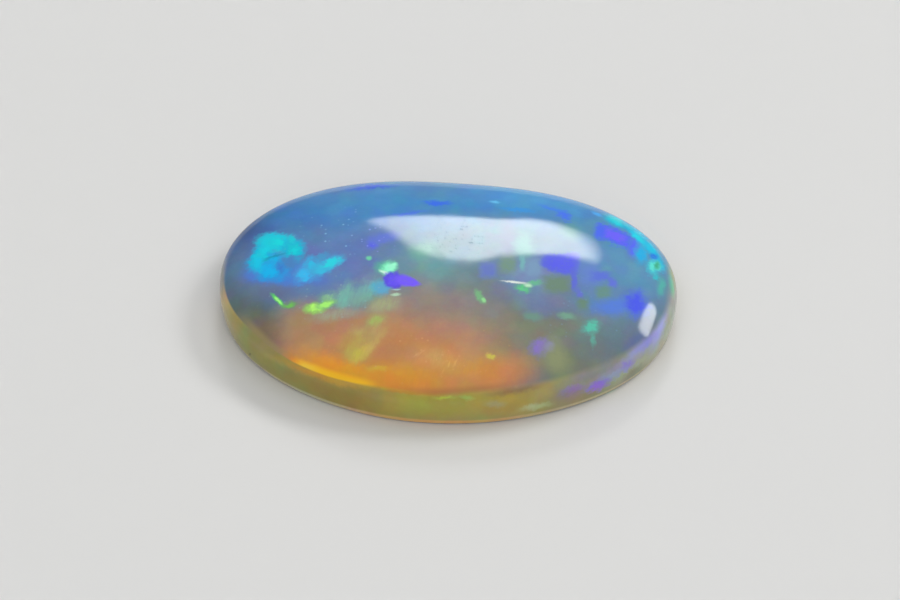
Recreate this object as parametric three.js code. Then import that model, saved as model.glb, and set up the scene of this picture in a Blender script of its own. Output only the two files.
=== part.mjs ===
// A loose opal cabochon: one solid oval stone with a low polished dome, steep rounded sides,
// a narrow bevel and a flat base. Millimetres, +Z up, long axis along X, and the origin under
// the middle of the stone at the level that the base rests on.

import * as THREE from "three";

// Size of the stone
const HALF_LENGTH = 6.045;
const HALF_WIDTH = 4.148;
const DOME_HEIGHT = 1.2; // from the girdle, where the stone is widest, to the crown
const GIRDLE_HEIGHT = 0.65; // from the base to the girdle
const BEVEL_INSET = 0.14; // how far the side draws in between the girdle and the base

// Form of the outline, seen from above
const OVAL_POWER = 2.15; // 2 is an ellipse, and more is fuller at the shoulders
const END_BIAS = -0.011; // a hand-cut stone: the -X end is this share fuller than the +X end
const LOBE_SHARE = 0.0224; // and three faint lobes make one long side rounder than the other
const LOBE_TURN = 0.18; // radians by which the lobes are turned

// Form of the dome, seen from the side
const DOME_SPREAD_POWER = 2.2; // how flat the crown stays before it falls to the side
const DOME_RISE_POWER = 2.5; // how steeply the side leaves the girdle

// Fineness of the mesh
const SEGMENTS_ROUND = 96;
const DOME_STEPS = 16;
const BEVEL_STEPS = 4;

const QUARTER_TURN = Math.PI / 2;

// The profile of a stone whose girdle has a radius of 1: from the middle of the base out along
// the flat, round the bevel to the girdle, and over the dome to the crown.
function unitProfile() {
  const points = [new THREE.Vector2(0, 0)];
  const inset = BEVEL_INSET / HALF_WIDTH;
  for (let step = 0; step < BEVEL_STEPS; step += 1) {
    const angle = (QUARTER_TURN * step) / BEVEL_STEPS;
    const radius = 1 - inset * (1 - Math.sin(angle));
    points.push(new THREE.Vector2(radius, GIRDLE_HEIGHT * (1 - Math.cos(angle))));
  }
  for (let step = 0; step < DOME_STEPS; step += 1) {
    const angle = QUARTER_TURN * (1 - step / DOME_STEPS);
    const radius = Math.sin(angle) ** (2 / DOME_SPREAD_POWER);
    const rise = Math.abs(Math.cos(angle)) ** (2 / DOME_RISE_POWER);
    points.push(new THREE.Vector2(radius, GIRDLE_HEIGHT + DOME_HEIGHT * rise));
  }
  points.push(new THREE.Vector2(0, GIRDLE_HEIGHT + DOME_HEIGHT));
  return points;
}

// The girdle's distance from the axis in the direction of an angle: a superellipse, with the
// small unevenness of a stone that was cut by hand.
function girdleRadius(angle) {
  const along = Math.abs(Math.cos(angle) / HALF_LENGTH) ** OVAL_POWER;
  const across = Math.abs(Math.sin(angle) / HALF_WIDTH) ** OVAL_POWER;
  const uneven = END_BIAS * Math.cos(angle) + LOBE_SHARE * Math.sin(3 * angle + LOBE_TURN);
  return (along + across) ** (-1 / OVAL_POWER) * (1 + uneven);
}

// Turns the round unit stone to +Z up and pushes it out to the oval outline.
function stoneGeometry() {
  const geometry = new THREE.LatheGeometry(unitProfile(), SEGMENTS_ROUND);
  geometry.rotateX(QUARTER_TURN);
  const position = geometry.getAttribute("position");
  for (let index = 0; index < position.count; index += 1) {
    const x = position.getX(index);
    const y = position.getY(index);
    const reach = girdleRadius(Math.atan2(y, x));
    position.setXY(index, x * reach, y * reach);
  }
  geometry.computeBoundingBox();
  const middle = geometry.boundingBox.getCenter(new THREE.Vector3());
  geometry.translate(-middle.x, -middle.y, 0);
  geometry.computeVertexNormals();
  return geometry;
}

// Milky body colour under a mirror polish
const opal = new THREE.MeshStandardMaterial({ color: 0x8f9ba0, roughness: 0.08, metalness: 0 });

const cabochon = new THREE.Group();
const stone = new THREE.Mesh(stoneGeometry(), opal);
stone.name = "opal_cabochon";
cabochon.add(stone);

export default cabochon;
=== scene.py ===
import math
from collections import namedtuple

import bpy
import numpy as np
from mathutils import Matrix, Vector
from mathutils.bvhtree import BVHTree
from mathutils.interpolate import poly_3d_calc


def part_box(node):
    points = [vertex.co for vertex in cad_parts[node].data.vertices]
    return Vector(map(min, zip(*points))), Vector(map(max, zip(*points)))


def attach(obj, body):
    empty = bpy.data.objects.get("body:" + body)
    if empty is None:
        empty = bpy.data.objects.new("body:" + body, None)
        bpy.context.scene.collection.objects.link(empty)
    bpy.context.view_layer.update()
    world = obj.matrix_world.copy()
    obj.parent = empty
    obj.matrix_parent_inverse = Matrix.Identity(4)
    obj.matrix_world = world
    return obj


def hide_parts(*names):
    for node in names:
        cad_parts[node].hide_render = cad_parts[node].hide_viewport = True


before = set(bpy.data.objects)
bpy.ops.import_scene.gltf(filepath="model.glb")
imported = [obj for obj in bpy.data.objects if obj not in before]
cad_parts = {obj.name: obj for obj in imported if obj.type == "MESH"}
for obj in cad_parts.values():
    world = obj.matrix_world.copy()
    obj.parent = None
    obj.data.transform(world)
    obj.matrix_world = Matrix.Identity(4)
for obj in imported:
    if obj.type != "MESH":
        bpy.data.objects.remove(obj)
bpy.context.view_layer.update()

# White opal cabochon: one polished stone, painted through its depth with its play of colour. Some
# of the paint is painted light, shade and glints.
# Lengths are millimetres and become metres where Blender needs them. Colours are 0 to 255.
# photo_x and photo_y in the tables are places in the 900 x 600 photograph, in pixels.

MM = 0.001

# Size and form of the stone
HALF_LENGTH = 6.045
HALF_WIDTH = 4.148
DOME_HEIGHT = 1.2  # from the girdle, where the stone is widest, to the crown
GIRDLE_HEIGHT = 0.65  # from the base to the girdle
BEVEL_INSET = 0.14  # how far the side draws in between the girdle and the base
OVAL_POWER = 2.15  # 2 is an ellipse, and more is fuller at the shoulders
END_BIAS = -0.011  # the -X end is this share fuller than the +X end
LOBE_SHARE = 0.0224  # three faint lobes make one long side rounder than the other
LOBE_TURN = 0.18  # radians by which the lobes are turned
DOME_SPREAD_POWER = 2.2  # how flat the crown stays before it falls to the side
DOME_RISE_POWER = 2.5  # how steeply the side leaves the girdle

# Fineness of the stone's mesh
SEGMENTS_ROUND = 480
DOME_RINGS = 110
BEVEL_RINGS = 16
BASE_RINGS = 10

# The photograph's view of the stone. The middle of the picture lies AIM_RIGHT and AIM_UP, across
# the view, from the point at AIM_HEIGHT over the middle of the base.
IMAGE_WIDTH = 900
IMAGE_HEIGHT = 600
VIEW_AZIMUTH = 4.37
VIEW_ELEVATION = 44.0
VIEW_DISTANCE = 150.0
PIXELS_PER_MM = 37.9
AIM_HEIGHT = 0.9
AIM_RIGHT = 0.078
AIM_UP = -0.233
SENSOR_WIDTH = 36.0
CLIP_START = 5.0
CLIP_END = 10000.0


def direction(azimuth, elevation):
    """Unit vector from the stone towards a viewer; azimuth 0 is a viewer in front, at -Y."""
    turn, rise = math.radians(azimuth), math.radians(elevation)
    flat = math.cos(rise)
    return Vector((math.sin(turn) * flat, -math.cos(turn) * flat, math.sin(rise)))


BACK = direction(VIEW_AZIMUTH, VIEW_ELEVATION)
RIGHT = direction(VIEW_AZIMUTH + 90, 0)
UP = BACK.cross(RIGHT)
AIM = Vector((0, 0, AIM_HEIGHT)) + RIGHT * AIM_RIGHT + UP * AIM_UP
EYE = AIM + BACK * VIEW_DISTANCE
FOCAL_PIXELS = PIXELS_PER_MM * VIEW_DISTANCE


def placed(position, back):
    """The matrix of a camera or light at a position, with its back to a direction."""
    return Matrix.Translation(position * MM) @ back.to_track_quat("Z", "Y").to_matrix().to_4x4()


def make_camera():
    data = bpy.data.cameras.new("photo_view")
    data.sensor_width = SENSOR_WIDTH
    data.lens = FOCAL_PIXELS / IMAGE_WIDTH * SENSOR_WIDTH
    data.clip_start = CLIP_START * MM
    data.clip_end = CLIP_END * MM
    camera = bpy.data.objects.new("photo_view", data)
    camera.matrix_world = placed(EYE, BACK)
    bpy.context.scene.collection.objects.link(camera)
    bpy.context.scene.camera = camera


# Stone


def girdle_radius(angle):
    """Distance of the widest outline from the stone's axis, in the direction of an angle."""
    along = np.abs(np.cos(angle) / HALF_LENGTH) ** OVAL_POWER
    across = np.abs(np.sin(angle) / HALF_WIDTH) ** OVAL_POWER
    uneven = END_BIAS * np.cos(angle) + LOBE_SHARE * np.sin(3 * angle + LOBE_TURN)
    return (along + across) ** (-1 / OVAL_POWER) * (1 + uneven)


def stone_profile():
    """Radius, as a share of the girdle's, and height of each ring of points, from just outside
    the middle of the base to just under the crown."""
    inset = BEVEL_INSET / HALF_WIDTH
    base = np.linspace(0, 1 - inset, BASE_RINGS + 1)[1:-1]
    bevel = np.linspace(0, math.pi / 2, BEVEL_RINGS, endpoint=False)
    dome = np.linspace(math.pi / 2, 0, DOME_RINGS, endpoint=False)
    radius = [base, 1 - inset * (1 - np.sin(bevel)), np.sin(dome) ** (2 / DOME_SPREAD_POWER)]
    rise = np.abs(np.cos(dome)) ** (2 / DOME_RISE_POWER)
    height = [0 * base, GIRDLE_HEIGHT * (1 - np.cos(bevel)), GIRDLE_HEIGHT + DOME_HEIGHT * rise]
    return np.concatenate(radius), np.concatenate(height)


def stone_points():
    """All points, ring by ring with the two middle points last, and the number of rings."""
    radius, height = stone_profile()
    angle = np.linspace(0, 2 * math.pi, SEGMENTS_ROUND, endpoint=False)
    reach = girdle_radius(angle)
    x = radius[:, None] * reach * np.cos(angle)
    y = radius[:, None] * reach * np.sin(angle)
    z = np.broadcast_to(height[:, None], x.shape)
    rings = np.stack([x, y, z], -1).reshape(-1, 3)
    middles = np.array([[0, 0, 0], [0, 0, GIRDLE_HEIGHT + DOME_HEIGHT]])
    points = np.concatenate([rings, middles])
    # The outline is centred and fitted to the frame's own box.
    low, high = (np.array(corner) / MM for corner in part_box("opal_cabochon"))
    own_low, own_high = points.min(0), points.max(0)
    return low + (points - own_low) * (high - low) / (own_high - own_low), len(radius)


def stone_faces(rings):
    count = SEGMENTS_ROUND
    base_middle, crown = rings * count, rings * count + 1
    faces = []
    for ring in range(rings - 1):
        for step in range(count):
            ahead = (step + 1) % count
            low, high = ring * count, (ring + 1) * count
            faces.append((low + step, low + ahead, high + ahead, high + step))
    last = (rings - 1) * count
    for step in range(count):
        ahead = (step + 1) % count
        faces.append((base_middle, ahead, step))
        faces.append((last + step, last + ahead, crown))
    return faces


def make_stone():
    points, rings = stone_points()
    mesh = bpy.data.meshes.new("opal_stone")
    mesh.from_pydata((points * MM).tolist(), [], stone_faces(rings))
    mesh.polygons.foreach_set("use_smooth", [True] * len(mesh.polygons))
    mesh.update()
    stone = bpy.data.objects.new("opal_stone", mesh)
    bpy.context.scene.collection.objects.link(stone)
    return stone


def surface_finder(stone):
    """Returns a function that gives the stone's surface point under a pixel of the photograph, in
    millimetres, with the ray that meets it and the normal there. Beside the stone it gives the
    nearest point."""
    vertices = [vertex.co / MM for vertex in stone.data.vertices]
    normals = [vertex.normal.copy() for vertex in stone.data.vertices]
    faces = [tuple(face.vertices) for face in stone.data.polygons]
    tree = BVHTree.FromPolygons(vertices, faces)

    def surface_at(photo_x, photo_y):
        across = (photo_x - IMAGE_WIDTH / 2) / FOCAL_PIXELS
        above = (IMAGE_HEIGHT / 2 - photo_y) / FOCAL_PIXELS
        ray = (RIGHT * across + UP * above - BACK).normalized()
        point, _, face, _ = tree.ray_cast(EYE, ray)
        if point is None:
            point, _, face, _ = tree.find_nearest(EYE + ray * VIEW_DISTANCE)
        corners = faces[face]
        weights = poly_3d_calc([vertices[corner] for corner in corners], point)
        shares = zip(corners, weights)
        normal = sum((normals[corner] * weight for corner, weight in shares), Vector())
        return point, ray, normal.normalized()

    return surface_at


# Node building

NOISE_VALUE, NOISE_COLOUR = 0, 1  # outputs of the noise node
MIX_UNDER, MIX_OVER, MIX_RESULT = 6, 7, 2  # sockets for colours of the mix node


def linear(colour):
    """The linear value of an 8-bit colour, by the usual display curve."""
    shares = [channel / 255 for channel in colour]
    return [
        share / 12.92 if share <= 0.04045 else ((share + 0.055) / 1.055) ** 2.4 for share in shares
    ]


class Sheet:
    """A node tree, with a short call for each kind of node. Each input takes a socket or a plain
    value."""

    def __init__(self, tree):
        self.tree = tree

    def node(self, kind, *inputs, **settings):
        made = self.tree.nodes.new(kind)
        for name, value in settings.items():
            setattr(made, name, value)
        for index, value in enumerate(inputs):
            self.feed(made.inputs[index], value)
        return made

    def feed(self, socket, value):
        if isinstance(value, bpy.types.NodeSocket):
            self.tree.links.new(value, socket)
        elif isinstance(value, (int, float)):
            socket.default_value = value
        else:
            value = list(value)
            if len(value) == 3 and socket.type == "RGBA":
                value.append(1.0)
            socket.default_value = value

    def math(self, operation, *inputs):
        return self.node("ShaderNodeMath", *inputs, operation=operation).outputs[0]

    def vector(self, operation, *inputs):
        made = self.node("ShaderNodeVectorMath", *inputs, operation=operation)
        return made.outputs["Value" if operation == "DOT_PRODUCT" else "Vector"]

    def scaled(self, vector, factor):
        made = self.node("ShaderNodeVectorMath", vector, operation="SCALE")
        self.feed(made.inputs["Scale"], factor)
        return made.outputs["Vector"]

    def stretched(self, point, *axes):
        """The place as measured along the axes, whose lengths are the scales there."""
        places = [self.vector("DOT_PRODUCT", point, axis) for axis in axes]
        return self.node("ShaderNodeCombineXYZ", *places).outputs[0]

    def smooth(self, value, start, end):
        """0 at start and 1 at end, with a soft step between. The step needs no clamp, and without
        it takes less of the renderer's stack."""
        made = self.node(
            "ShaderNodeMapRange", value, start, end, interpolation_type="SMOOTHSTEP", clamp=False
        )
        return made.outputs[0]

    def spread(self, share, low, high):
        """low where the share is 0 and high where it is 1."""
        return self.math("MULTIPLY_ADD", share, high - low, low)

    def mix(self, share, under, over, blend="MIX"):
        made = self.node("ShaderNodeMix", data_type="RGBA", blend_type=blend)
        self.feed(made.inputs["Factor"], share)
        self.feed(made.inputs[MIX_UNDER], under)
        self.feed(made.inputs[MIX_OVER], over)
        return made.outputs[MIX_RESULT]

    def steps(self, value, colours):
        """One colour after another, in equal steps of the value."""
        made = self.node("ShaderNodeValToRGB", value)
        made.color_ramp.interpolation = "CONSTANT"
        stops = made.color_ramp.elements
        stops.remove(stops[1])
        for index, colour in enumerate(colours):
            stop = stops.new(index / len(colours)) if index else stops[0]
            stop.color = (*linear(colour), 1)
        return made.outputs[0]

    def noise(self, point, scale, detail=2.0, roughness=0.5, output=NOISE_VALUE):
        """Soft noise, as a value or a colour. Its scale counts waves per unit of the place."""
        made = self.node("ShaderNodeTexNoise")
        self.feed(made.inputs["Vector"], point)
        self.feed(made.inputs["Scale"], scale)
        self.feed(made.inputs["Detail"], detail)
        self.feed(made.inputs["Roughness"], roughness)
        return made.outputs[output]

    def wander(self, point, scale, detail, roughness, reach):
        """Noise that moves a place by up to half of reach each way along each axis."""
        noise = self.noise(point, scale, detail, roughness, NOISE_COLOUR)
        return self.scaled(self.vector("SUBTRACT", noise, (0.5, 0.5, 0.5)), reach)

    def cells(self, point, scale, **settings):
        """The distance from the middle of the cell where a place lies, and the cell's colour."""
        made = self.node("ShaderNodeTexVoronoi", **settings)
        self.feed(made.inputs["Vector"], point)
        self.feed(made.inputs["Scale"], scale)
        return made.outputs["Distance"], made.outputs["Color"]

    def dots(self, point, scale, channel, size, choice, **settings):
        """Round dots in some of the cells. size has the distances at which a dot begins and is
        full, and choice the same two for the colour channel that picks the cells."""
        distance, colour = self.cells(point, scale, **settings)
        chosen = self.node("ShaderNodeSeparateColor", colour).outputs[channel]
        return self.math("MULTIPLY", self.smooth(distance, *size), self.smooth(chosen, *choice))


# A patch of colour in the stone, placed by the pixel of the photograph where it shows. long and
# tall are its half sizes across the view, deep is its half thickness along the view, and turn is
# its slope there, anticlockwise, in degrees. Inside, the fringe colour passes to the core colour.
# edge is the softness of the outline. power 2 makes it round and more makes it square, taper
# narrows it towards its right end, ragged stirs its outline, and mottle mixes fringe and core.
Patch = namedtuple(
    "Patch",
    "photo_x photo_y long tall turn core fringe edge strength power taper ragged mottle deep",
    defaults=(None, 0.3, 1.0, 2.0, 0.0, 0.5, 0.8, 1.3),
)
PLAIN_NUMBERS = ("edge", "strength", "power", "taper", "ragged", "mottle")

PATCH_INPUTS = {
    "NodeSocketColor": ("under", "core", "fringe"),
    "NodeSocketVector": ("point", "stir", "place", "along", "above", "through"),
    "NodeSocketFloat": ("grain", "lumps", *PLAIN_NUMBERS),
}
NARROWEST = 0.05  # of a tapered patch, as a share of its height in the middle
FRINGE_REACH = 1.0  # from here in to CORE_REACH the fringe colour passes to the core colour
CORE_REACH = 0.3


def make_patch_group():
    """The node group that lays one patch over a colour. Only sockets of one type meet in it, as
    converting them would fill the renderer's stack in a long chain of patches."""
    tree = bpy.data.node_groups.new("patch", "ShaderNodeTree")
    for kind, names in PATCH_INPUTS.items():
        for name in names:
            tree.interface.new_socket(name, in_out="INPUT", socket_type=kind)
    tree.interface.new_socket("colour", in_out="OUTPUT", socket_type="NodeSocketColor")
    sheet = Sheet(tree)
    given = sheet.node("NodeGroupInput").outputs
    stirred = sheet.vector("ADD", given["point"], sheet.scaled(given["stir"], given["ragged"]))
    local = sheet.vector("SUBTRACT", stirred, given["place"])
    along = sheet.vector("DOT_PRODUCT", local, given["along"])
    above = sheet.vector("DOT_PRODUCT", local, given["above"])
    through = sheet.vector("DOT_PRODUCT", local, given["through"])
    narrowed = sheet.math("SUBTRACT", 1.0, sheet.math("MULTIPLY", along, given["taper"]))
    above = sheet.math("DIVIDE", above, sheet.math("MAXIMUM", narrowed, NARROWEST))
    total = 0.0
    for value in (along, above, through):
        power = sheet.math("POWER", sheet.math("ABSOLUTE", value), given["power"])
        total = sheet.math("ADD", power, total)
    reach = sheet.math("POWER", total, sheet.math("DIVIDE", 1.0, given["power"]))
    outside = sheet.math("ADD", 1.0, given["edge"])
    inside = sheet.math("SUBTRACT", 1.0, given["edge"])
    cover = sheet.math("MULTIPLY", sheet.smooth(reach, outside, inside), given["strength"])
    cover = sheet.math("MULTIPLY", cover, given["grain"])
    mottled = sheet.math("MULTIPLY_ADD", given["lumps"], given["mottle"], reach)
    core_share = sheet.smooth(mottled, FRINGE_REACH, CORE_REACH)
    colour = sheet.mix(core_share, given["fringe"], given["core"])
    sheet.node("NodeGroupOutput", sheet.mix(cover, given["under"], colour))
    return tree


# Broad washes of the body colour, from the far side to the near side. They run through the stone.
BODY_COLOUR = (106, 130, 142)
BODY_WASHES = (
    Patch(430, 178, 6.4, 2.3, 0, (80, 142, 196), edge=0.75, deep=6),
    Patch(430, 176, 6.4, 0.6, 0, (68, 138, 198), edge=0.6, deep=6),
    Patch(530, 197, 1.5, 0.4, -6, (74, 152, 212), edge=0.8, deep=6),
    Patch(264, 216, 1.4, 0.85, -30, (44, 122, 188), edge=0.8, deep=6),
    Patch(240, 238, 0.5, 0.8, -50, (24, 76, 132), edge=0.8, deep=6),
    Patch(240, 284, 0.4, 0.8, 0, (80, 120, 138), edge=0.8, deep=6),
    Patch(256, 318, 1.0, 0.7, -40, (98, 110, 110), edge=0.8, deep=6),
    Patch(267, 331, 0.5, 0.3, -38, (128, 114, 94), edge=0.8, deep=6),
    Patch(310, 262, 2.0, 0.9, 0, (98, 127, 180), edge=0.8, deep=6),
    Patch(380, 258, 1.0, 0.75, 0, (104, 126, 190), edge=0.8, deep=6),
    Patch(462, 288, 2.1, 1.0, 0, (114, 130, 144), edge=0.7, deep=6),
    Patch(490, 240, 2.6, 0.55, 0, (102, 140, 160), edge=0.8, deep=6),
    Patch(430, 264, 1.0, 0.5, -5, (110, 156, 164), edge=0.8, deep=6),
    Patch(560, 312, 2.2, 1.0, 0, (112, 130, 140), edge=0.7, deep=6),
    Patch(530, 334, 1.6, 0.8, 5, (124, 129, 112), edge=0.8, deep=6),
    Patch(586, 356, 1.6, 0.55, 22, (120, 126, 108), edge=0.8, deep=6),
    Patch(618, 334, 0.9, 0.6, 25, (104, 126, 138), edge=0.8, deep=6),
    Patch(632, 262, 1.1, 1.2, -30, (90, 148, 186), edge=0.8, deep=6),
    Patch(598, 298, 0.8, 0.4, 0, (98, 137, 174), edge=0.8, deep=6),
    Patch(545, 306, 0.6, 0.26, 0, (112, 126, 160), edge=0.8, deep=6),
    Patch(530, 274, 0.7, 0.6, 0, (120, 142, 184), edge=0.8, deep=6),
)

# Orange light gathered at the near side
ORANGE_WASHES = (
    Patch(412, 348, 2.3, 1.6, 0, (160, 136, 120), edge=0.55, deep=4),
    Patch(347, 354, 1.75, 1.04, 4, (176, 136, 104), edge=0.26, power=3, deep=4),
    Patch(310, 322, 0.72, 0.48, -6, (172, 134, 106), edge=0.75, deep=4),
    Patch(398, 366, 2.55, 1.1, 0, (194, 138, 88), edge=0.55, deep=4),
    Patch(390, 386, 2.8, 0.6, 0, (216, 146, 62), edge=0.6, deep=4),
    Patch(334, 370, 1.05, 0.31, -17, (238, 163, 54), edge=0.8, deep=4),
    Patch(481, 374, 1.2, 0.42, 8, (202, 140, 84), edge=0.65, deep=4),
)
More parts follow.
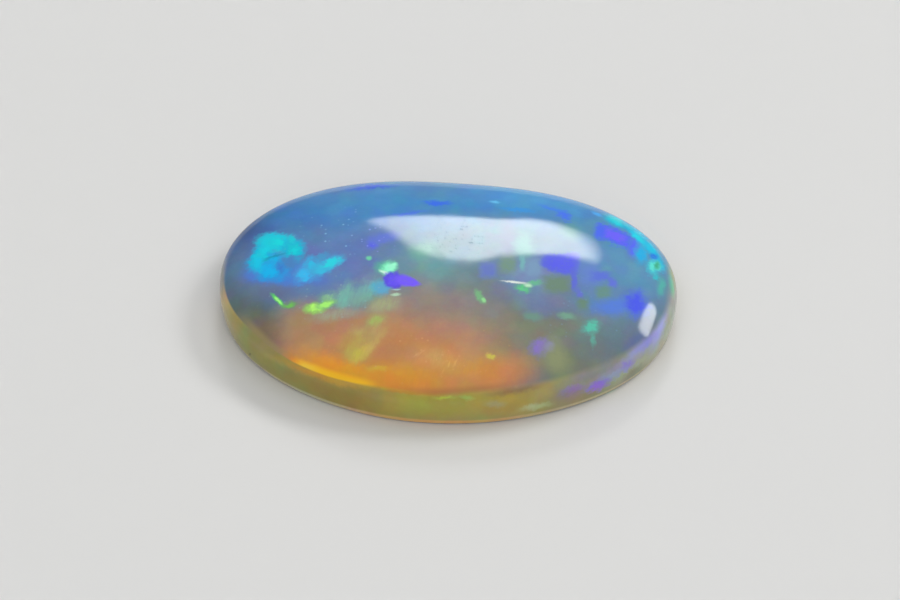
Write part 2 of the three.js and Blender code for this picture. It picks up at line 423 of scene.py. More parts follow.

# Flashes of play of colour, with a few painted glints, in groups from left to right
CYAN = (0, 210, 232)
AZURE = (6, 188, 236)
VIOLET = (104, 84, 248)
LIME = (160, 255, 90)
MINT = (134, 255, 190)
FLASHES = (
    # Cyan cloud and its lobe
    Patch(284, 277, 0.95, 0.2, -2, (82, 122, 216), edge=0.7),
    Patch(279, 270, 0.78, 0.3, -6, (66, 132, 218), edge=0.7),
    Patch(270, 265, 0.52, 0.42, -12, (0, 192, 240), (30, 164, 228), edge=0.4, ragged=0.9),
    Patch(261, 257, 0.26, 0.55, -12, CYAN, (0, 188, 230), edge=0.35, ragged=0.9),
    Patch(275, 242, 0.5, 0.26, -10, (0, 212, 228), CYAN, edge=0.35, ragged=0.9),
    Patch(294, 250, 0.3, 0.34, 35, (0, 200, 218), (16, 178, 222), edge=0.4, ragged=0.9),
    Patch(268, 271, 0.36, 0.24, -10, (0, 186, 244), (36, 156, 230), edge=0.5, ragged=0.9),
    Patch(275, 256, 0.26, 0.03, 14, (8, 140, 176), edge=0.8, strength=0.7, ragged=0.5),
    Patch(269, 259, 0.16, 0.03, 16, (0, 152, 196), edge=0.8, strength=0.7, ragged=0.5),
    Patch(290, 263, 0.18, 0.16, 20, (74, 134, 198), edge=0.6, ragged=0.9),
    Patch(281, 268, 0.1, 0.14, -10, (56, 130, 214), edge=0.7, ragged=0.9),
    Patch(296, 272, 0.14, 0.1, 0, (80, 124, 206), edge=0.7, ragged=0.9),
    Patch(279, 243, 0.14, 0.08, -20, (0, 222, 230), edge=0.6, ragged=0.9),
    Patch(266, 250, 0.12, 0.08, 30, (0, 216, 236), edge=0.6, ragged=0.9),
    Patch(292, 239, 0.1, 0.1, 30, (20, 206, 222), edge=0.6, ragged=0.9),
    Patch(295, 251, 0.1, 0.12, -20, (0, 214, 226), edge=0.6, ragged=0.9),
    Patch(258, 263, 0.1, 0.2, 0, (0, 206, 240), edge=0.6, ragged=0.9),
    Patch(316, 268, 0.6, 0.24, 24, (64, 168, 220), (78, 150, 214), edge=0.6, ragged=0.9),
    Patch(305, 274, 0.28, 0.22, 45, (56, 190, 244), (74, 158, 224), edge=0.5, ragged=0.9),
    Patch(313, 266, 0.2, 0.2, 30, (44, 196, 236), (64, 170, 224), edge=0.5, ragged=0.9),
    Patch(322, 268, 0.26, 0.14, 10, (52, 194, 232), (66, 172, 222), edge=0.5, ragged=0.9),
    Patch(331, 263, 0.34, 0.13, 22, (40, 218, 232), (60, 188, 226), edge=0.5, ragged=0.9),
    Patch(323, 256, 0.16, 0.08, 30, (74, 156, 206), edge=0.7, ragged=0.9),
    Patch(252, 275, 0.14, 0.12, 0, (80, 128, 214), edge=0.9),
    Patch(274, 293, 0.5, 0.18, 0, (100, 110, 146), edge=0.8, strength=0.7),
    # Lime slivers
    Patch(278, 300.5, 0.23, 0.055, -44, (170, 255, 140), (90, 230, 90), edge=0.5, ragged=0.2),
    Patch(289, 305.5, 0.2, 0.07, 10, (116, 196, 92), (106, 160, 104), edge=0.7, ragged=0.5),
    Patch(315, 308.5, 0.26, 0.13, 5, (186, 255, 112), (146, 220, 104), edge=0.5, ragged=0.5),
    Patch(326, 304.5, 0.28, 0.09, 20, (170, 246, 118), (136, 206, 122), edge=0.55, ragged=0.5),
    # Mint spot, violet arrow and what lies round them
    Patch(369, 258, 0.07, 0.05, 0, (112, 212, 170), edge=0.5, ragged=0.2),
    Patch(381, 267, 0.16, 0.13, 0, (92, 172, 162), edge=0.7, ragged=0.5),
    Patch(389, 268, 0.22, 0.17, 20, (150, 255, 212), (122, 236, 184), edge=0.45, ragged=0.5),
    Patch(392, 266, 0.12, 0.08, 20, (160, 255, 214), edge=0.6, ragged=0.5),
    Patch(385, 272.5, 0.14, 0.035, -24, (214, 255, 232), edge=0.6, ragged=0.2),
    Patch(373, 244, 0.14, 0.13, 0, (88, 96, 236), (92, 112, 220), edge=0.6, ragged=0.5),
    Patch(384, 238, 0.4, 0.14, 12, (98, 122, 214), edge=0.7),
    Patch(383, 288, 0.24, 0.16, 35, (96, 170, 208), edge=0.6),
    Patch(393, 280, 0.25, 0.21, 0, VIOLET, (92, 80, 226), edge=0.25, power=3, ragged=0.5),
    Patch(408, 281.5, 0.32, 0.13, -14, (120, 94, 255), edge=0.3, taper=0.4, ragged=0.2),
    # Painted glints: two small white arcs inside the stone
    Patch(396, 289.5, 0.1, 0.02, 5, (170, 205, 205), edge=0.7, ragged=0.2),
    Patch(395.5, 294.5, 0.12, 0.035, 3, (182, 216, 186), edge=0.6, ragged=0.2),
    # Tints behind the highlight
    Patch(424, 251, 0.34, 0.2, 15, (112, 176, 162), edge=0.8),
    Patch(508, 237, 0.2, 0.45, 0, (128, 126, 170), edge=0.9, strength=0.5),
    Patch(524, 247, 0.26, 0.3, 0, (112, 176, 172), edge=0.8, ragged=0.9),
    Patch(571, 231, 0.26, 0.2, -30, (98, 160, 162), edge=0.9),
    # Squares and slivers right of the middle
    Patch(488, 270, 0.23, 0.2, 0, (104, 124, 198), (108, 132, 190), edge=0.4, power=5, ragged=0.5),
    Patch(479.5, 296, 0.08, 0.2, 32, (122, 184, 132), edge=0.6, ragged=0.5),
    Patch(483.5, 300, 0.05, 0.06, 32, (150, 220, 150), edge=0.5, ragged=0.2),
    Patch(508, 264, 0.2, 0.22, 0, (118, 152, 136), edge=0.6, power=4),
    Patch(523, 262, 0.07, 0.18, 0, (120, 182, 186), edge=0.6, power=4),
    Patch(534, 268, 0.2, 0.22, 0, (124, 158, 192), edge=0.6, power=4),
    Patch(523, 288, 0.22, 0.1, -10, (98, 206, 140), (100, 176, 140), edge=0.6, ragged=0.9),
    Patch(534, 283.5, 0.22, 0.07, 6, (108, 186, 150), edge=0.7, ragged=0.5),
    # A painted glint: a thin white streak inside the stone
    Patch(514, 282, 0.3, 0.026, -6, (232, 240, 230), edge=0.7, ragged=0.2, taper=-0.4),
    Patch(528, 285.5, 0.1, 0.04, -10, (190, 236, 200), edge=0.7, ragged=0.2),
    Patch(
        561, 263, 0.5, 0.27, -4, (92, 98, 238), (94, 106, 226), edge=0.2, power=4, taper=-0.2,
        ragged=0.5,
    ),
    Patch(556, 284, 0.34, 0.2, 0, (112, 140, 122), edge=0.5, power=5, ragged=0.5),
    Patch(574, 280, 0.08, 0.28, 0, (96, 108, 216), edge=0.6, power=4, ragged=0.5),
    Patch(580, 295, 0.08, 0.2, 12, (102, 116, 206), edge=0.7, ragged=0.5),
    Patch(590, 274, 0.3, 0.3, 0, (102, 134, 206), edge=0.7, power=4),
    Patch(601, 276, 0.26, 0.12, 0, (94, 116, 216), edge=0.6, power=4),
    Patch(613, 283, 0.12, 0.12, 0, (98, 116, 216), edge=0.6, power=4),
    Patch(603, 292, 0.18, 0.14, 0, (104, 146, 138), edge=0.6, power=4),
    Patch(583, 304, 0.16, 0.16, 0, (106, 140, 122), edge=0.6, power=4),
    Patch(614, 306, 0.5, 0.2, 4, (88, 128, 218), edge=0.7),
    Patch(636, 303, 0.32, 0.34, 25, (76, 92, 234), (84, 110, 222), edge=0.45, power=3, ragged=0.9),
    # Lower right
    Patch(533, 316, 0.2, 0.1, 0, (112, 150, 136), edge=0.7),
    Patch(566, 316, 0.2, 0.08, -10, (118, 164, 142), edge=0.7),
    Patch(590, 327, 0.26, 0.17, 10, (92, 196, 172), (98, 162, 154), edge=0.5, ragged=0.9),
    Patch(593, 339, 0.07, 0.18, 0, (98, 165, 150), edge=0.7),
    Patch(540, 348, 0.28, 0.22, 20, (138, 118, 198), (132, 124, 178), edge=0.5, ragged=0.9),
    Patch(550, 347, 0.12, 0.12, 0, (144, 138, 210), edge=0.6),
    Patch(556, 358, 0.3, 0.4, 20, (140, 148, 110), edge=0.8),
    Patch(489, 355.5, 0.14, 0.1, -15, (206, 192, 84), (196, 168, 90), edge=0.5, ragged=0.9),
    Patch(636, 342, 0.35, 0.14, 38, (88, 106, 168), edge=0.8, strength=0.6),
    # Right rim
    Patch(614, 236, 0.5, 0.22, -22, (108, 98, 250), (74, 104, 240), edge=0.35, power=3, ragged=0.9),
    Patch(634, 248, 0.14, 0.22, -20, (88, 104, 244), edge=0.6, ragged=0.5),
    Patch(600, 231, 0.12, 0.16, 0, (74, 106, 240), edge=0.6, ragged=0.5),
    Patch(617, 221.5, 0.36, 0.14, -27, (0, 214, 228), (0, 180, 214), edge=0.45, ragged=0.2),
    Patch(631, 229, 0.28, 0.1, -36, (0, 196, 224), (0, 166, 214), edge=0.5, ragged=0.2),
    Patch(641, 239, 0.36, 0.16, -50, (0, 220, 236), (0, 190, 234), edge=0.5, ragged=0.9),
    Patch(641, 254, 0.2, 0.26, -10, (30, 176, 230), (58, 168, 216), edge=0.6, ragged=0.9),
    Patch(652, 249, 0.32, 0.12, -56, (0, 200, 234), (24, 180, 226), edge=0.6, ragged=0.5),
    Patch(659, 261, 0.26, 0.08, -64, (0, 184, 228), edge=0.7, ragged=0.5),
    Patch(654.5, 257, 0.1, 0.08, -30, (36, 116, 226), edge=0.7, ragged=0.5),
    Patch(655, 267, 0.21, 0.22, -20, (92, 224, 212), (64, 196, 214), edge=0.5, ragged=0.9),
    Patch(657, 266, 0.07, 0.1, -20, (64, 176, 140), edge=0.7, ragged=0.5),
    Patch(656, 278, 0.1, 0.08, 0, (60, 186, 200), edge=0.7, ragged=0.9),
    Patch(661, 287, 0.09, 0.2, -8, (84, 176, 168), edge=0.8, ragged=0.5),
    # Streaks along the far side
    Patch(372, 187, 0.62, 0.06, 4, (60, 106, 226), (66, 116, 216), edge=0.7, ragged=0.5),
    Patch(437, 203, 0.34, 0.06, -3, (52, 110, 234), edge=0.6, ragged=0.5),
    Patch(408, 213, 0.4, 0.05, 8, (70, 120, 226), edge=0.7, ragged=0.5),
    Patch(563, 216, 0.18, 0.14, -30, (68, 116, 238), edge=0.6, ragged=0.9),
    Patch(552, 208, 0.3, 0.05, -18, (64, 132, 232), edge=0.7, ragged=0.5),
    Patch(518, 210, 0.4, 0.06, -4, (56, 150, 222), edge=0.7, ragged=0.5),
    Patch(495, 202, 0.12, 0.03, -8, (104, 196, 240), edge=0.7, ragged=0.2),
    Patch(597, 214, 0.14, 0.04, -24, (76, 170, 240), edge=0.7, ragged=0.2),
)

# Flashes broken into fine upright streaks
STREAKED = (
    Patch(329, 299, 0.24, 0.18, 10, (150, 208, 150), (120, 174, 148), edge=0.8),
    Patch(366, 291, 0.55, 0.3, 34, (126, 182, 176), (116, 162, 168), edge=0.75, ragged=0.9),
    Patch(352, 297, 0.36, 0.26, 10, (132, 176, 166), edge=0.8, ragged=0.9),
    Patch(345, 296, 0.14, 0.34, -15, (124, 190, 168), edge=0.7, ragged=0.5),
    Patch(378, 286, 0.2, 0.16, 30, (90, 180, 204), edge=0.7, ragged=0.5),
    Patch(335, 315, 0.6, 0.14, 6, (164, 164, 142), edge=0.8),
    Patch(384, 304, 0.42, 0.2, 18, (158, 168, 128), edge=0.7),
    Patch(376, 321, 0.26, 0.15, 20, (160, 198, 110), (166, 174, 116), edge=0.7, ragged=0.5),
    Patch(366, 340, 0.56, 0.26, 50, (186, 162, 98), edge=0.7, ragged=0.5),
    Patch(358, 347, 0.34, 0.38, 10, (194, 170, 90), edge=0.8, ragged=0.9),
    Patch(362, 354, 0.3, 0.14, 42, (208, 188, 82), edge=0.6, ragged=0.5),
    Patch(375, 343, 0.42, 0.09, 48, (198, 172, 100), edge=0.8, strength=0.7, ragged=0.5),
    Patch(377, 369, 0.24, 0.07, 0, (214, 182, 72), edge=0.8, ragged=0.5),
    Patch(352, 374, 0.34, 0.2, -8, (226, 166, 44), edge=0.8, ragged=0.9),
    Patch(400, 378, 0.9, 0.2, -4, (222, 150, 56), edge=0.8, ragged=0.9),
    Patch(470, 370, 0.6, 0.2, 0, (212, 150, 72), edge=0.8, ragged=0.9),
    Patch(440, 358, 0.7, 0.24, 0, (218, 164, 108), edge=0.8, strength=0.5),
    Patch(416, 355, 0.09, 0.02, 34, (222, 170, 112), edge=0.9, strength=0.5, ragged=0.2),
    Patch(421, 353, 0.11, 0.02, 42, (222, 172, 114), edge=0.9, strength=0.5, ragged=0.2),
    Patch(449, 364, 0.09, 0.02, 68, (226, 176, 104), edge=0.9, strength=0.6, ragged=0.2),
    Patch(455, 363, 0.1, 0.024, 62, (226, 174, 104), edge=0.9, strength=0.6, ragged=0.2),
    Patch(443, 371, 0.1, 0.02, 56, (222, 164, 92), edge=0.9, strength=0.5, ragged=0.2),
)

# Painted glints: bright specks in the dome
GLINT_SPECKS = (
    Patch(340, 232, 0.95, 0.6, 15, (140, 200, 230), edge=0.7, strength=0.7),
    Patch(372, 240, 0.5, 0.4, 0, (140, 150, 240), edge=0.7, strength=0.8),
    Patch(600, 310, 1.6, 1.2, 0, (120, 160, 200), edge=0.7, strength=0.3),
    Patch(330, 300, 1.6, 0.6, 0, (150, 190, 190), edge=0.7, strength=0.4),
    Patch(420, 350, 2.4, 0.7, 0, (220, 170, 110), edge=0.7, strength=0.4),
)

# Painted light and painted shade: bright and dark lines that follow the upper edge of the pale band
EDGE_LIGHT_AND_SHADE = (
    Patch(262, 338, 0.8, 0.4, -36, (166, 150, 96), edge=0.6, strength=0.7),
    Patch(324, 373, 0.95, 0.5, -17, (255, 180, 20), (250, 146, 30), edge=0.4, mottle=0.3),
    Patch(308, 368, 0.3, 0.3, -22, (255, 210, 70), edge=0.8),
    Patch(327, 376, 0.4, 0.3, -16, (255, 198, 40), edge=0.8),
    Patch(352, 381, 0.5, 0.3, -8, (250, 194, 40), edge=0.7),
    Patch(460, 391, 1.3, 0.4, 3, (156, 106, 76), edge=0.7, strength=0.5),
)

# Colours of the pale band along the steep side. Its pale yellow is painted light, reflected
# inside the stone, with flashes of colour in it, and its far side has the bluish body colour. The
# bright paint also makes up for the shade there.
REFLECTED_BAND_COLOUR = (164, 156, 104)
BAND_WASHES = (
    Patch(430, 184, 8.0, 2.0, 0, (116, 150, 186), edge=0.6, deep=6),
    Patch(224, 262, 0.4, 0.6, 0, (120, 138, 160), edge=0.8),
    Patch(223, 284, 0.3, 0.5, 0, (150, 146, 142), edge=0.8),
    Patch(225, 304, 0.35, 0.4, 8, (192, 172, 128), edge=0.8),
    Patch(234, 318, 0.4, 0.35, -40, (190, 168, 116), edge=0.8),
    Patch(262, 362, 1.5, 0.6, -38, (153, 146, 74), edge=0.8),
    Patch(254, 338, 0.9, 0.16, -42, (152, 148, 94), edge=0.8),
    Patch(300, 374, 0.7, 0.25, -25, (146, 148, 76), edge=0.8),
    Patch(344, 398, 1.5, 0.5, -14, (156, 132, 62), edge=0.8),
    Patch(318, 374, 0.95, 0.1, -19.5, (208, 156, 64), edge=0.9, strength=0.85),
    Patch(350, 382.5, 0.55, 0.08, -11, (202, 158, 70), edge=0.9, strength=0.8),
    Patch(435, 404, 1.5, 0.5, 0, (170, 160, 68), edge=0.7),
    Patch(510, 402, 1.0, 0.4, 4, (176, 152, 74), edge=0.8),
    Patch(412, 391, 0.6, 0.07, -3, (186, 138, 52), edge=0.8),
    Patch(515, 390, 0.6, 0.09, 9, (150, 124, 80), edge=0.8),
    Patch(536, 407, 0.34, 0.07, 10, (184, 188, 138), edge=0.7),
    Patch(495, 404, 0.24, 0.08, 4, (172, 160, 108), edge=0.7),
    Patch(585, 392, 0.9, 0.5, 18, (156, 144, 108), edge=0.8),
    Patch(572, 392, 0.3, 0.14, 15, (150, 136, 136), edge=0.8),
    Patch(606, 391, 0.55, 0.2, 26, (132, 126, 92), edge=0.8),
    Patch(640, 356, 1.2, 0.4, 42, (164, 174, 148), edge=0.7),
    Patch(634, 374, 0.4, 0.12, 38, (136, 140, 116), edge=0.8),
    Patch(600, 369, 0.95, 0.2, 24, (138, 142, 138), edge=0.7),
    Patch(618, 368, 0.7, 0.12, 30, (150, 144, 166), edge=0.8),
    Patch(644, 344, 0.9, 0.13, 44, (156, 160, 196), edge=0.8),
    Patch(673, 306, 0.2, 0.9, 0, (158, 166, 160), edge=0.8),
    Patch(661, 340, 0.5, 0.3, 62, (164, 172, 148), edge=0.8),
    Patch(659, 328, 0.12, 0.5, -20, (164, 168, 226), edge=0.8),
    Patch(644, 344, 0.35, 0.09, 42, (148, 152, 214), edge=0.8),
    Patch(627, 367, 0.22, 0.1, 35, (144, 128, 216), edge=0.7, ragged=0.9),
    Patch(613, 375, 0.4, 0.08, 26, (152, 158, 192), edge=0.8, ragged=0.9),
    Patch(597, 385, 0.32, 0.11, 28, (146, 116, 222), (146, 130, 200), edge=0.5, ragged=0.9),
    Patch(574, 389, 0.3, 0.09, 18, (150, 130, 172), edge=0.8, ragged=0.9),
    Patch(
        444, 398.5, 0.24, 0.045, 2, (188, 204, 72), (180, 182, 80), edge=0.8, strength=0.8,
        ragged=0.5,
    ),
    Patch(467, 398.5, 0.16, 0.045, -4, (168, 198, 108), edge=0.8, strength=0.6, ragged=0.5),
    Patch(395, 388, 0.5, 0.06, -8, (176, 176, 66), edge=0.8, ragged=0.5),
    # A painted highlight: a thin green line along the right edge
    Patch(670.5, 284, 0.06, 0.28, 10, (128, 206, 156), edge=0.8, ragged=0.2),
    Patch(250, 354.5, 0.035, 0.035, 0, (116, 102, 52), edge=0.7, ragged=0.2, deep=0.2),
)

# The pale band's upper edge: places along the stone's length, with the edge's height there.
# Towards the far side it falls to FAR_EDGE_Z over FAR_FALL_WIDTH, from the places that
# FAR_FALL_Y gives for the left and the right end.
BAND_EDGE = (
    (-5.9, 1.0), (-5.0, 1.07), (-3.8, 1.015), (-2.8, 1.02), (-1.4, 1.07),
    (0.0, 1.05), (1.2, 1.1), (3.1, 1.105), (4.3, 1.09), (5.9, 1.04),
)
FAR_EDGE_Z = 0.6
FAR_FALL_Y = (0.5, 1.0)
FAR_FALL_WIDTH = 1.65

# Softness of that edge. It grows along the stone from EDGE_SOFTENS_X on, and by FAR_SOFTNESS
# across it over the places FAR_SOFTENS_Y.
EDGE_SOFTNESS = (0.02, 0.07)
EDGE_SOFTENS_X = (-2.4, -1.0)
FAR_SOFTNESS = 0.06
FAR_SOFTENS_Y = (-0.8, 0.8)

# Rise over that edge at which the painted light and shade along it have begun, are full, begin to
# fade and end
EDGE_LIGHT_AND_SHADE_RISE = (-0.03, 0.0, 0.04, 0.16)

# Places across the stone from which the band's scattered flashes begin and are full. They lie out
# of the photograph's sight.
FAR_FLASHES = (0.8, 2.0)

# Scattered flashes: cells that are long and low, pushed about by waves
FLASH_STRETCH = (0.6, 1.0, 1.5)
FLASH_SCALE = 1.1
FLASH_STRENGTH = 0.85
FLASH_COLOURS = (AZURE, VIOLET, CYAN, MINT, VIOLET, LIME)

# Underside: a milky colour that covers BASE_SHARE of the body's washes. BASE_TOP is the height
# at which the underside has passed to the side.
BASE_COLOUR = (158, 164, 160)
BASE_SHARE = 0.45
BASE_TOP = 0.04

# Thin lit rim along the bottom, and the heights over which it fades out
RIM_COLOUR = (196, 184, 148)
RIM_WASHES = (Patch(440, 420, 2.2, 1.0, 0, (222, 174, 98), edge=0.8),)
RIM_TOP = 0.24
RIM_BOTTOM = 0.14

# Where the polish has pits: black for none, and the lighter the deeper
NO_PITS = (0, 0, 0)
PIT_FIELD = (
    Patch(430, 236, 2.2, 0.5, 0, (70, 70, 70), edge=0.8),
    Patch(461, 238, 0.7, 0.42, 10, (108, 108, 108), edge=0.8),
)

# Axes of the fine streaks, as long as their scales: across them, along them and through the stone
STREAK_AXES = (RIGHT * 22 - UP * 6, UP * 4, BACK * 2)

# Finish of the polish and of the ground base. Heights and depths are millimetres.
OPAL_IOR = 1.45
DOME_ROUGHNESS = 0.06
SIDE_ROUGHNESS = 0.12
WEAR_ROUGHNESS = 0.05
GROUND_ROUGHNESS = (0.26, 0.42)
PIT_ROUGHNESS = 0.7
PIT_DEPTH = 0.009
WAVE_HEIGHT = 0.0015
MARK_HEIGHT = 0.006
MARK_AXES = ((26, 11, 0), (-0.9, 2.1, 0))  # across the grinding marks and along them


def add_rise(mesh):
    """Stores how far each point lies above the pale band's upper edge, in millimetres."""
    place = np.empty(len(mesh.vertices) * 3)
    mesh.vertices.foreach_get("co", place)
    x, y, z = place.reshape(-1, 3).T / MM
    near_edge = np.interp(x, *zip(*BAND_EDGE))
    fall_start = np.interp(x, (-HALF_LENGTH, HALF_LENGTH), FAR_FALL_Y)
    far = np.clip((y - fall_start) / FAR_FALL_WIDTH, 0, 1)
    rise = z - (near_edge + (FAR_EDGE_Z - near_edge) * far)
    mesh.attributes.new("rise", "FLOAT", "POINT").data.foreach_set("value", rise)


class Paint:
    """Lays colours over one another through the stone. It has the place in the stone in
    millimetres, the rise over the pale band's edge, and the noise that stirs the patches."""

    def __init__(self, sheet, surface_at):
        self.sheet = sheet
        self.surface_at = surface_at
        self.group = make_patch_group()
        place = sheet.node("ShaderNodeTexCoord").outputs["Object"]
        self.point = sheet.scaled(place, 1 / MM)
        self.x, self.y, self.z = sheet.node("ShaderNodeSeparateXYZ", self.point).outputs
        self.rise = sheet.node("ShaderNodeAttribute", attribute_name="rise").outputs["Fac"]
        self.underside = sheet.smooth(self.z, BASE_TOP, 0.0)
        coarse = sheet.wander(self.point, scale=1.6, detail=2.0, roughness=0.5, reach=0.3)
        fine = sheet.wander(self.point, scale=8.0, detail=3.0, roughness=0.6, reach=0.3)
        self.stir = sheet.vector("ADD", coarse, fine)
        lumps = sheet.noise(self.point, scale=7.0, detail=3.0, roughness=0.6)
        self.lumps = sheet.math("SUBTRACT", lumps, 0.5)

    def lay(self, under, patches, grain=1.0):
        """Lays each patch of a table over the one before. grain thins them all."""
        for patch in patches:
            turn = math.radians(patch.turn)
            along = RIGHT * math.cos(turn) + UP * math.sin(turn)
            values = {name: getattr(patch, name) for name in PLAIN_NUMBERS}
            values.update(
                under=under,
                core=linear(patch.core),
                fringe=linear(patch.fringe or patch.core),
                point=self.point,
                stir=self.stir,
                place=self.surface_at(patch.photo_x, patch.photo_y)[0],
                along=along / patch.long,
                above=BACK.cross(along) / patch.tall,
                through=BACK / patch.deep,
                grain=grain,
                lumps=self.lumps,
            )
            made = self.sheet.node("ShaderNodeGroup", node_tree=self.group)
            for name, value in values.items():
                self.sheet.feed(made.inputs[name], value)
            under = made.outputs[0]
        return under

    def lay_mosaic(self, colour):
        """Lets the colour differ slightly from grain to grain of the stone and from part to part."""
        sheet = self.sheet
        _, tint = sheet.cells(self.point, 2.6, feature="SMOOTH_F1")
        cloud = sheet.noise(self.point, 1.1, 3.0, 0.55, NOISE_COLOUR)
        grit = sheet.noise(self.point, 9.0, 3.0, 0.7, NOISE_COLOUR)
        for share, layer in ((0.14, tint), (0.2, cloud), (0.14, grit)):
            colour = sheet.mix(share, colour, layer, "SOFT_LIGHT")
        return colour

    def lay_flashes(self, under, share):
        """Lays scattered flashes over the sides that the photograph doesn't show."""
        sheet = self.sheet
        waves = sheet.wander(self.point, scale=1.0, detail=1.0, roughness=0.5, reach=1.6)
        moved = sheet.vector("ADD", self.point, waves)
        moved = sheet.vector("ADD", moved, sheet.scaled(self.stir, 0.6))
        moved = sheet.vector("MULTIPLY", moved, FLASH_STRETCH)
        distance, colour = sheet.cells(moved, FLASH_SCALE)
        chosen, hue, smallness = sheet.node("ShaderNodeSeparateColor", colour).outputs
        distance = sheet.math("MULTIPLY", distance, sheet.spread(smallness, 0.7, 1.9))
        shown = sheet.smooth(distance, 0.66, 0.2)
        shown = sheet.math("MULTIPLY", shown, sheet.smooth(chosen, 0.4, 0.85))
        shown = sheet.math("MULTIPLY", shown, sheet.math("MULTIPLY", share, FLASH_STRENGTH))
        return sheet.mix(shown, under, sheet.steps(hue, FLASH_COLOURS))


def paint_body(paint, washes):
    """The stone above the pale band, as it is seen through the dome, with painted glints and the
    painted light and shade along the band's edge.
    """
    sheet = paint.sheet
    noise = sheet.noise(sheet.stretched(paint.point, *STREAK_AXES), 1.0, 3.0, 0.6)
    streaks = sheet.spread(sheet.smooth(noise, 0.3, 0.7), 0.6, 1.0)
    noise = sheet.noise(paint.point, 10.0, 3.0, 0.6)
    grain = sheet.spread(sheet.smooth(noise, 0.2, 0.5), 0.7, 1.0)
    # Dots where the painted glints show
    glint_dots = sheet.dots(paint.point, 7.0, "Red", size=(0.3, 0.1), choice=(0.6, 0.9))
    # Where the painted light and shade along the band's edge show
    begin, full, fade, end = EDGE_LIGHT_AND_SHADE_RISE
    above = sheet.smooth(paint.rise, begin, full)
    edge_light_and_shade = sheet.math("MULTIPLY", sheet.smooth(paint.rise, end, fade), above)
    body = paint.lay(washes, STREAKED, streaks)
    body = paint.lay_mosaic(body)
    body = paint.lay(body, FLASHES, grain)
    body = paint.lay(body, GLINT_SPECKS, glint_dots)
    return paint.lay(body, EDGE_LIGHT_AND_SHADE, edge_light_and_shade)


def paint_side(paint, washes):
    """The pale band along the side, whose pale yellow is painted reflected light, the lit rim under
    it, and the underside.
    """
    sheet = paint.sheet
    band = paint.lay(linear(REFLECTED_BAND_COLOUR), BAND_WASHES)
    band = paint.lay_flashes(band, sheet.smooth(paint.y, *FAR_FLASHES))
    rim = paint.lay(linear(RIM_COLOUR), RIM_WASHES)
    base = paint.lay_flashes(sheet.mix(BASE_SHARE, washes, linear(BASE_COLOUR)), 1.0)
    side = sheet.mix(sheet.smooth(paint.z, RIM_TOP, RIM_BOTTOM), band, rim)
    side = sheet.mix(paint.underside, side, base)
    return paint.lay_mosaic(side)


def side_share(paint):
    """1 below the pale band's upper edge and 0 above it."""
    sheet = paint.sheet
    softness = sheet.spread(sheet.smooth(paint.x, *EDGE_SOFTENS_X), *EDGE_SOFTNESS)
    far = sheet.smooth(paint.y, *FAR_SOFTENS_Y)
    softness = sheet.math("MULTIPLY_ADD", far, FAR_SOFTNESS, softness)
    return sheet.smooth(paint.rise, softness, sheet.math("MULTIPLY", softness, -1.0))


def find_pits(paint):
    """1 in the tiny round pits of the polish and 0 between them."""
    sheet = paint.sheet
    dots = sheet.dots(
        paint.point, 7.5, "Green", size=(0.22, 0.08), choice=(0.5, 0.72), voronoi_dimensions="2D"
    )
    field = paint.lay(NO_PITS, PIT_FIELD, dots)
    return sheet.node("ShaderNodeSeparateColor", field).outputs["Red"]


def make_roughness(paint, side, pits):
    """A mirror polish on the dome, less even on the side, and a fine ground finish on the base."""
    sheet = paint.sheet
    worn = sheet.smooth(sheet.noise(paint.point, 2.2, 4.0, 0.6), 0.45, 0.75)
    polish = sheet.spread(side, DOME_ROUGHNESS, SIDE_ROUGHNESS)
    polish = sheet.math("ADD", polish, sheet.math("MULTIPLY", worn, WEAR_ROUGHNESS))
    ground = sheet.spread(sheet.noise(paint.point, 9.0, 3.0), *GROUND_ROUGHNESS)
    rough = sheet.math("MAXIMUM", polish, sheet.math("MULTIPLY", paint.underside, ground))
    return sheet.math("MAXIMUM", rough, sheet.math("MULTIPLY", pits, PIT_ROUGHNESS))


def make_relief(paint, pits):
    """Pits and a slight waviness in the polish, and grinding marks on the base."""
    sheet = paint.sheet
    waves = sheet.math("MULTIPLY", sheet.noise(paint.point, 0.9, 2.0), WAVE_HEIGHT)
    marks = sheet.noise(sheet.stretched(paint.point, *MARK_AXES), 1.0, 3.0)
    marks = sheet.math("MULTIPLY", marks, sheet.math("MULTIPLY", paint.underside, MARK_HEIGHT))
    height = sheet.math("ADD", waves, marks)
    height = sheet.math("ADD", height, sheet.math("MULTIPLY", pits, -PIT_DEPTH))
    bump = sheet.node("ShaderNodeBump")
    sheet.feed(bump.inputs["Height"], height)
    sheet.feed(bump.inputs["Distance"], MM)
    return bump.outputs[0]


def make_opal(surface_at):
    material = bpy.data.materials.new("opal")
    material.use_nodes = True
    shader = material.node_tree.nodes["Principled BSDF"]
    shader.inputs["IOR"].default_value = OPAL_IOR
    sheet = Sheet(material.node_tree)
    paint = Paint(sheet, surface_at)
    washes = paint.lay(linear(BODY_COLOUR), BODY_WASHES + ORANGE_WASHES)
    side = side_share(paint)
    pits = find_pits(paint)
    colour = sheet.mix(side, paint_body(paint, washes), paint_side(paint, washes))
    sheet.feed(shader.inputs["Base Color"], colour)
    sheet.feed(shader.inputs["Roughness"], make_roughness(paint, side, pits))
    sheet.feed(shader.inputs["Normal"], make_relief(paint, pits))
    return material


# Floor and light

FLOOR_HALF_SIDE = 1500.0
FLOOR_DROP = 0.01  # below the stone's base, so that the two don't lie in one plane
FLOOR_COLOUR = (0.72, 0.72, 0.71, 1)
FLOOR_ROUGHNESS = 0.85

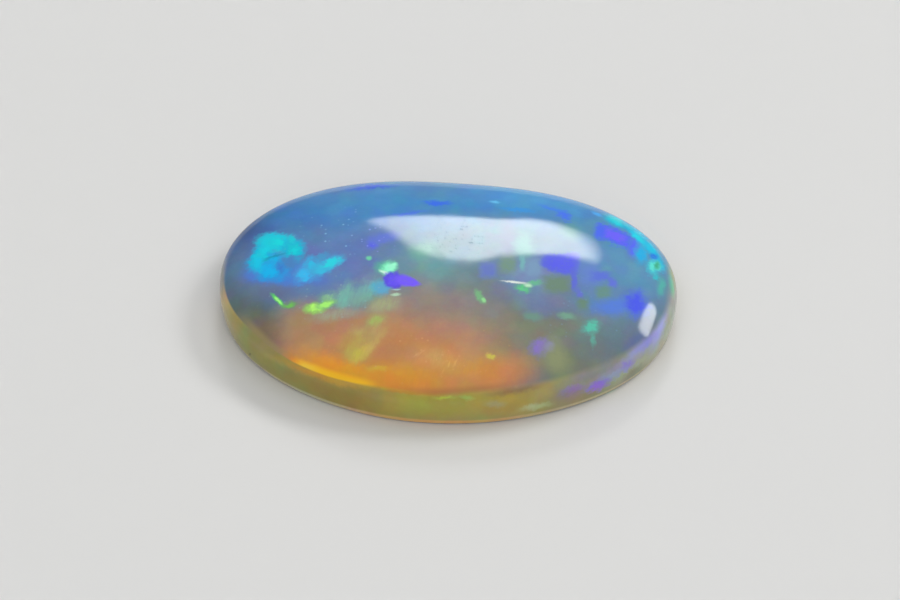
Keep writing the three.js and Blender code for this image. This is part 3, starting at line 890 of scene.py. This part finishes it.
# The two softboxes are cut to the outlines of their reflections on the stone. Each point of an
# outline is a pixel of the photograph, with the width there over which the edge fades.
BACK_HIGHLIGHT = (
    (369, 221.5, 8), (384, 218, 6), (405, 216.2, 4), (440, 216, 4), (475, 217.8, 4),
    (500, 219.5, 4), (512, 219.6, 4), (530, 219.6, 5), (552, 223.5, 9), (572, 232, 13),
    (586, 242, 22), (594, 252, 24), (595, 260, 18), (586, 259.5, 12), (572, 256.5, 7),
    (556, 254, 5), (538, 254.2, 4), (518, 254, 4), (503, 255, 5), (490, 258.6, 5),
    (472, 260.8, 5), (452, 259.4, 5), (432, 255, 7), (415, 248.6, 8), (402, 240, 9),
    (388, 230, 9),
)
SIDE_HIGHLIGHT = (
    (650, 303, 4), (655, 307, 4), (656, 314, 3), (653, 323, 3), (650, 331, 3), (647, 336, 4),
    (642, 333, 6), (639, 327, 5), (641, 320, 5), (644, 311, 6),
)
CURVE_STEPS = 6  # from one point of an outline to the next

# Name, outline and strength of each softbox, with the share of the strength at its left end. It
# has the full strength from FULL_AT of its width on.
SOFTBOXES = (
    ("back_softbox", BACK_HIGHLIGHT, 10.4, 0.66),
    ("side_softbox", SIDE_HIGHLIGHT, 11.0, 1.0),
)
FULL_AT = 0.4

# Name, elevation, strength and radius of each soft light
SOFT_LIGHTS = (("overhead", 90, 0.6, 330.0), ("front_fill", 30, 0.9, 220.0))
LIGHT_DISTANCE = 400.0
WORLD_STRENGTH = 0.35


def make_floor():
    side = FLOOR_HALF_SIDE * MM
    corners = [(-side, -side, 0), (side, -side, 0), (side, side, 0), (-side, side, 0)]
    mesh = bpy.data.meshes.new("floor")
    mesh.from_pydata(corners, [], [(0, 1, 2, 3)])
    floor = bpy.data.objects.new("floor", mesh)
    floor.location.z = -FLOOR_DROP * MM
    bpy.context.scene.collection.objects.link(floor)
    material = bpy.data.materials.new("floor")
    material.use_nodes = True
    shader = material.node_tree.nodes["Principled BSDF"]
    shader.inputs["Base Color"].default_value = FLOOR_COLOUR
    shader.inputs["Roughness"].default_value = FLOOR_ROUGHNESS
    mesh.materials.append(material)
    return floor


def smooth_loop(points):
    """A closed curve through the points."""
    points = np.array(points, float)
    before, after, beyond = (np.roll(points, shift, 0) for shift in (1, -1, -2))
    places = []
    for share in np.linspace(0, 1, CURVE_STEPS, endpoint=False):
        slope = (after - before) * share
        bend = (2 * before - 5 * points + 4 * after - beyond) * share**2
        twist = (3 * points - before - 3 * after + beyond) * share**3
        places.append(points + 0.5 * (slope + bend + twist))
    return np.stack(places, 1).reshape(-1, points.shape[1])


def softbox_corners(outline, surface_at):
    """The corners round the bright part of a panel, and then those where it has faded out. Each
    lies where the polish reflects the camera's ray through its pixel to."""
    curve = smooth_loop(outline)
    places, half_fade = curve[:, :2], curve[:, 2:] / 2
    run = np.roll(places, -1, 0) - np.roll(places, 1, 0)
    outward = np.stack([run[:, 1], -run[:, 0]], 1) / np.linalg.norm(run, axis=1)[:, None]
    _, ray, normal = surface_at(*places.mean(0))
    facing = ray.reflect(normal)
    bright, faded = places - outward * half_fade, places + outward * half_fade
    corners = []
    for photo_x, photo_y in np.concatenate([bright, faded]):
        point, ray, normal = surface_at(photo_x, photo_y)
        towards = ray.reflect(normal)
        corners.append((point + towards * LIGHT_DISTANCE / towards.dot(facing)) * MM)
    return corners


def make_glow(name, corners, strength, left_share):
    """White light that fades out at the panel's edge and is dimmer at its left end."""
    material = bpy.data.materials.new(name)
    material.use_nodes = True
    material.node_tree.nodes.clear()
    sheet = Sheet(material.node_tree)
    inside = sheet.node("ShaderNodeAttribute", attribute_name="glow").outputs["Fac"]
    place = sheet.node("ShaderNodeTexCoord").outputs["Object"]
    across = sheet.vector("DOT_PRODUCT", place, RIGHT)
    ends = [Vector(corner).dot(RIGHT) for corner in corners]
    left, right = min(ends), max(ends)
    full = left + (right - left) * FULL_AT
    dimming = sheet.spread(sheet.smooth(across, left, full), left_share, 1.0)
    share = sheet.math("MULTIPLY", sheet.smooth(inside, 0.0, 1.0), dimming)
    emission = sheet.node("ShaderNodeEmission", (1, 1, 1), sheet.math("MULTIPLY", share, strength))
    sheet.node("ShaderNodeOutputMaterial", emission.outputs[0])
    return material


def make_softbox(name, outline, strength, left_share, surface_at):
    """A glowing panel whose reflection on the stone, as the camera sees it, has the outline."""
    corners = softbox_corners(outline, surface_at)
    count = len(corners) // 2
    faces = [tuple(range(count))]
    for step in range(count):
        ahead = (step + 1) % count
        faces.append((step, ahead, count + ahead, count + step))
    mesh = bpy.data.meshes.new(name)
    mesh.from_pydata(corners, [], faces)
    glow = mesh.attributes.new("glow", "FLOAT", "POINT")
    glow.data.foreach_set("value", [1.0] * count + [0.0] * count)
    mesh.materials.append(make_glow(name, corners, strength, left_share))
    panel = bpy.data.objects.new(name, mesh)
    bpy.context.scene.collection.objects.link(panel)


def make_soft_light(name, elevation, strength, radius):
    """A wide soft light that faces the stone. It has no reflection of its own on the polish."""
    towards = direction(VIEW_AZIMUTH, elevation)
    data = bpy.data.lights.new(name, "AREA")
    data.shape = "DISK"
    data.size = 2 * radius * MM
    data.energy = strength * (math.pi * radius * MM) ** 2
    light = bpy.data.objects.new(name, data)
    light.matrix_world = placed(towards * LIGHT_DISTANCE, towards)
    light.visible_glossy = False
    bpy.context.scene.collection.objects.link(light)


def make_world():
    world = bpy.data.worlds.new("studio")
    world.use_nodes = True
    background = world.node_tree.nodes["Background"]
    background.inputs["Color"].default_value = (1, 1, 1, 1)
    background.inputs["Strength"].default_value = WORLD_STRENGTH
    bpy.context.scene.world = world


make_camera()
stone = make_stone()
add_rise(stone.data)
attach(stone, "root")
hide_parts("opal_cabochon")
surface_at = surface_finder(stone)
stone.data.materials.append(make_opal(surface_at))
make_floor()
for softbox in SOFTBOXES:
    make_softbox(*softbox, surface_at)
for light in SOFT_LIGHTS:
    make_soft_light(*light)
make_world()
bpy.context.scene.view_settings.view_transform = "Standard"
